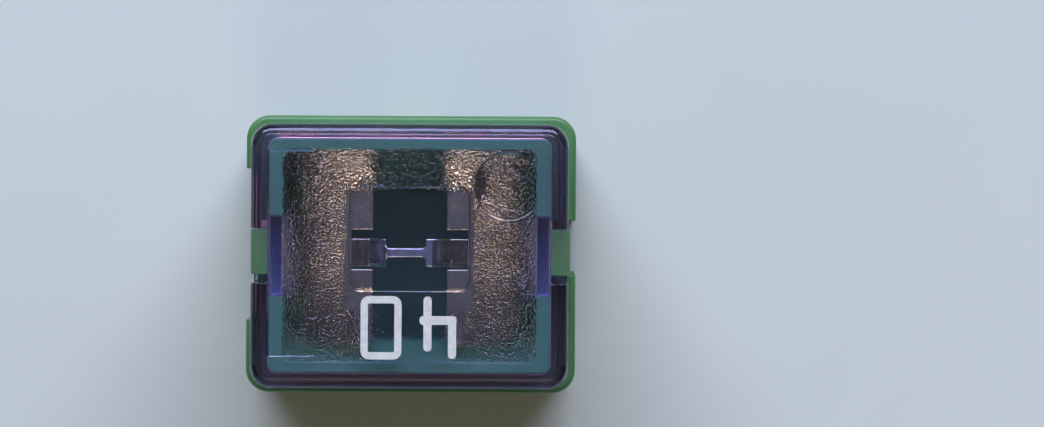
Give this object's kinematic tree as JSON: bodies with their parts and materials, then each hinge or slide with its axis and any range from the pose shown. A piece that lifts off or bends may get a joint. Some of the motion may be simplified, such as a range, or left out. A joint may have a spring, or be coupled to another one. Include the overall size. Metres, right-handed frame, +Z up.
{
  "type": "maxi fuse",
  "caption": "Cartridge fuse with a clear clip-on cover, a necked metal link and rolled female blade terminals in a green moulded housing.",
  "frame": {"origin": "centre of the flat bottom end, where the blades go in", "axes": "+Z up towards the clear cover, X along the long side of the outline, Y along the short side"},
  "size_m": [0.0142, 0.0118, 0.0234],
  "materials": {
    "housing": "satin green moulding",
    "cover": "clear violet-tinted moulding, stippled on top with a polished window",
    "metal": "bare copper alloy strip"
  },
  "bodies": {
    "root": {"housing": "housing", "cover": "cover", "fuse_element": "metal"}
  },
  "joints": []
}
